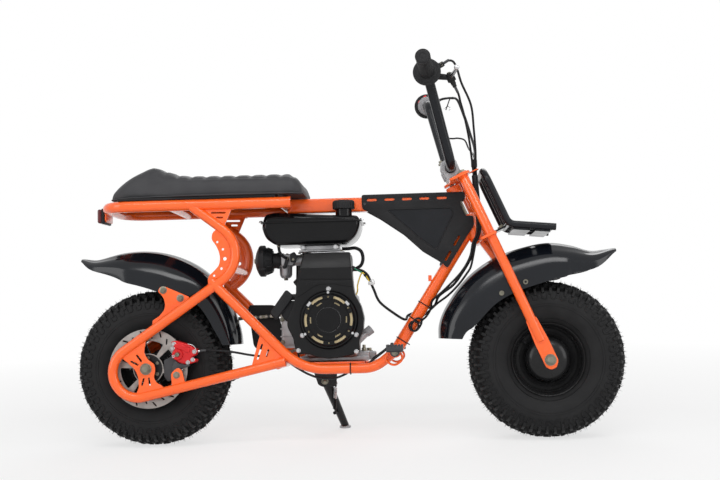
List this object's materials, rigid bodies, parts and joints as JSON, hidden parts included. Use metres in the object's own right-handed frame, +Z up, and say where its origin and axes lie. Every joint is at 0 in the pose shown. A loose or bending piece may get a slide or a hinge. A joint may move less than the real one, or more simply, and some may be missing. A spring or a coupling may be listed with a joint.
{
  "type": "mini dirt bike",
  "caption": "Small dirt bike with a tube frame, balloon tyres, small upright engine, chain drive, rigid fork and side stand, parked leaning.",
  "frame": {"origin": "centre of the bounding box at floor level", "axes": "+X towards the front wheel, +Y to the rider's left (the side-stand side), +Z up"},
  "size_m": [1.2584, 0.6452, 0.859],
  "materials": {
    "orange_paint": "gloss",
    "black_paint": "gloss",
    "black_plastic": "gloss",
    "matte_plastic": "matte",
    "seat_vinyl": "satin",
    "tyre_rubber": "matte",
    "grip_rubber": "matte",
    "bare_steel": "satin",
    "cast_aluminium": "satin",
    "red_paint": "gloss",
    "grey_plastic": "matte",
    "cable_sheath": "satin"
  },
  "bodies": {
    "frame": {"frame_spine": "orange_paint", "seat_rails": "orange_paint", "side_loop_right": "orange_paint", "side_loop_left": "orange_paint", "footpeg_bar": "orange_paint", "engine_mount": "orange_paint", "cross_tube_upper": "orange_paint", "cross_tube_lower": "orange_paint", "tail_light_bracket": "orange_paint", "stand_bracket": "orange_paint", "footpeg_right": "black_paint", "footpeg_left": "black_paint", "seat_base": "matte_plastic", "seat": "seat_vinyl", "rear_fender": "black_plastic", "side_panel_right": "black_plastic", "side_panel_left": "black_plastic", "tail_light": "black_plastic", "engine_block": "cast_aluminium", "engine_shroud": "matte_plastic", "fan_cover": "matte_plastic", "recoil_handle": "matte_plastic", "fuel_tank": "black_paint", "fuel_cap": "matte_plastic", "tank_stay": "bare_steel", "carburettor": "cast_aluminium", "air_filter": "matte_plastic", "muffler": "black_paint", "clutch": "bare_steel", "chain": "bare_steel", "rear_axle": "bare_steel", "brake_calliper": "red_paint", "calliper_bracket": "black_paint", "throttle_cable": "cable_sheath", "brake_cable": "cable_sheath", "switch_wires": "cable_sheath", "spark_lead": "cable_sheath"},
    "steering": {"lower_clamp": "orange_paint", "upper_clamp": "orange_paint", "fork_leg_right": "orange_paint", "fork_leg_left": "orange_paint", "handlebar": "black_paint", "handlebar_clamp": "cast_aluminium", "grip_right": "grip_rubber", "grip_left": "grip_rubber", "throttle_housing": "matte_plastic", "kill_switch": "grey_plastic", "front_rack": "black_paint", "front_fender": "black_plastic", "front_axle": "bare_steel", "steering_stem": "bare_steel", "brake_lever": "cast_aluminium"},
    "front_wheel": {"front_tyre": "tyre_rubber", "front_rim": "black_paint"},
    "rear_wheel": {"rear_tyre": "tyre_rubber", "rear_rim": "black_paint", "brake_disc": "bare_steel", "rear_sprocket": "bare_steel"},
    "side_stand": {"side_stand": "black_paint", "stand_spring": "bare_steel"}
  },
  "joints": [
    {"name": "steering", "type": "hinge", "parent": "frame", "child": "steering", "pos_m": [0.2735, -0.02236, 0.52441], "axis": [-0.3988, 0.072, 0.9142], "range_deg": [-35, 35], "deforming": ["throttle_cable", "brake_cable", "switch_wires"]},
    {"name": "front_wheel_spin", "type": "hinge", "parent": "steering", "child": "front_wheel", "pos_m": [0.4525, -0.04974, 0.17651], "axis": [0, 0.9969, -0.0785], "continuous": true},
    {"name": "rear_wheel_spin", "type": "hinge", "parent": "frame", "child": "rear_wheel", "pos_m": [-0.4525, -0.04974, 0.17651], "axis": [0, 0.9969, -0.0785], "continuous": true},
    {"name": "side_stand", "type": "hinge", "parent": "frame", "child": "side_stand", "pos_m": [-0.0655, 0.02679, 0.12936], "axis": [-0.0967, 0.8907, 0.4441], "range_deg": [0, 95], "deforming": ["stand_spring"]}
  ]
}
